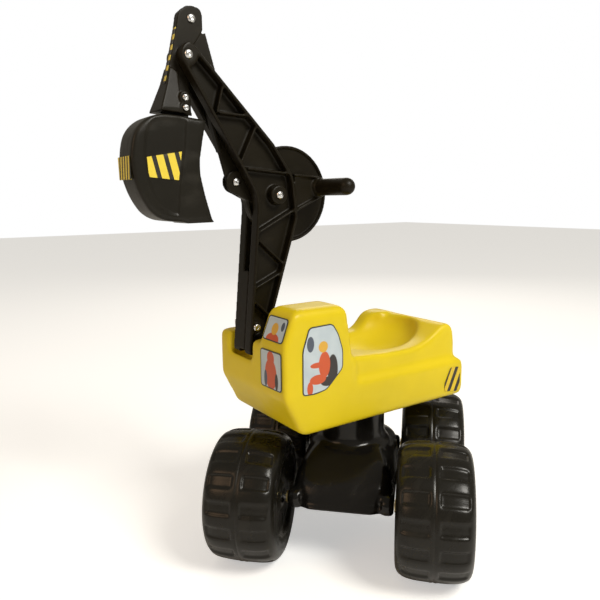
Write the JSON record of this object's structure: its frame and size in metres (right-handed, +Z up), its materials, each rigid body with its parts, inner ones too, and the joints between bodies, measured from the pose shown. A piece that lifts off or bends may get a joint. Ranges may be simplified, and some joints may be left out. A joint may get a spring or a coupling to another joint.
{
  "type": "ride-on toy excavator",
  "caption": "Ride-on toy excavator: wheeled hood chassis, swivelling turret with seat and cab, and a hand-worked arm with lifting boom, lever, link rod, stick and bucket.",
  "frame": {"origin": "middle of the footprint, on the ground", "axes": "+Z up, -Y the way the turret and its arm face, +X the cab side"},
  "size_m": [0.5366, 0.6078, 0.772],
  "materials": {
    "yellow_shell": "smooth blow-moulded plastic",
    "gloss_black": "semi-gloss",
    "arm_black": "satin",
    "nylon": "matt",
    "zinc": "zinc plated",
    "brass_washer": "plain",
    "window_label": "printed film",
    "hazard_label": "printed film"
  },
  "bodies": {
    "chassis": {"chassis_shell": "gloss_black", "front_axle": "zinc", "rear_axle": "zinc", "swivel_ring": "nylon", "swivel_bolt": "zinc", "swivel_nut": "zinc", "swivel_washer": "zinc", "front_left_washer": "brass_washer", "front_left_cap": "zinc", "front_right_washer": "brass_washer", "front_right_cap": "zinc", "rear_left_washer": "brass_washer", "rear_left_cap": "zinc", "rear_right_washer": "brass_washer", "rear_right_cap": "zinc"},
    "front_left_wheel": {"front_left_wheel": "gloss_black"},
    "front_right_wheel": {"front_right_wheel": "gloss_black"},
    "rear_left_wheel": {"rear_left_wheel": "gloss_black"},
    "rear_right_wheel": {"rear_right_wheel": "gloss_black"},
    "turret": {"turret_shell": "yellow_shell", "boom_pivot_bolt": "zinc", "boom_pivot_nut": "zinc", "side_window_label": "window_label", "windshield_label": "window_label", "front_window_label": "window_label", "rear_hazard_label": "hazard_label"},
    "boom": {"boom_left_half": "arm_black", "boom_right_half": "arm_black", "base_bolt": "zinc", "base_nut": "zinc", "elbow_bolt": "zinc", "elbow_nut": "zinc", "boom_tip_bolt": "zinc", "boom_tip_nut": "zinc"},
    "lever": {"stick_lever": "arm_black", "ear_bolt": "zinc", "ear_nut": "zinc"},
    "rod": {"link_rod": "arm_black"},
    "stick": {"stick": "arm_black", "stick_top_bolt": "zinc", "stick_top_nut": "zinc", "stick_hazard_label": "hazard_label", "bucket": "arm_black", "bucket_front_label": "hazard_label", "bucket_hazard_label": "hazard_label", "bucket_upper_bolt": "zinc", "bucket_upper_nut": "zinc", "bucket_lower_bolt": "zinc", "bucket_lower_nut": "zinc"}
  },
  "joints": [
    {"name": "front_left_wheel_spin", "type": "hinge", "parent": "chassis", "child": "front_left_wheel", "pos_m": [0.17472, 0.04536, 0.095], "axis": [0.7193, 0.6947, 0], "continuous": true},
    {"name": "front_right_wheel_spin", "type": "hinge", "parent": "chassis", "child": "front_right_wheel", "pos_m": [-0.0162, -0.139, 0.095], "axis": [0.7193, 0.6947, 0], "continuous": true},
    {"name": "rear_left_wheel_spin", "type": "hinge", "parent": "chassis", "child": "rear_left_wheel", "pos_m": [0.0162, 0.20951, 0.095], "axis": [0.7193, 0.6947, 0], "continuous": true},
    {"name": "rear_right_wheel_spin", "type": "hinge", "parent": "chassis", "child": "rear_right_wheel", "pos_m": [-0.17472, 0.02515, 0.095], "axis": [0.7193, 0.6947, 0], "continuous": true},
    {"name": "turret_swivel", "type": "hinge", "parent": "chassis", "child": "turret", "pos_m": [0, 0.03526, 0.2113], "axis": [0, 0, 1], "continuous": true},
    {"name": "boom_lift", "type": "hinge", "parent": "turret", "child": "boom", "pos_m": [-0.0285, -0.12074, 0.327], "axis": [1, 0, 0], "range_deg": [-8, 80]},
    {"name": "lever_turn", "type": "hinge", "parent": "boom", "child": "lever", "pos_m": [-0.0285, -0.09134, 0.5366], "axis": [1, 0, 0], "range_deg": [-3, 28]},
    {"name": "rod_swing", "type": "hinge", "parent": "lever", "child": "rod", "pos_m": [-0.0285, -0.15084, 0.5545], "axis": [1, 0, 0], "range_deg": [-38, 4.5]},
    {"name": "stick_swing", "type": "hinge", "parent": "boom", "child": "stick", "pos_m": [-0.0285, -0.22274, 0.7092], "axis": [1, 0, 0], "range_deg": [-45, 5]}
  ],
  "couplings": [
    {"joint": "rod_swing", "follows": "lever_turn", "ratio": -1.33},
    {"joint": "stick_swing", "follows": "lever_turn", "ratio": -1.59}
  ]
}
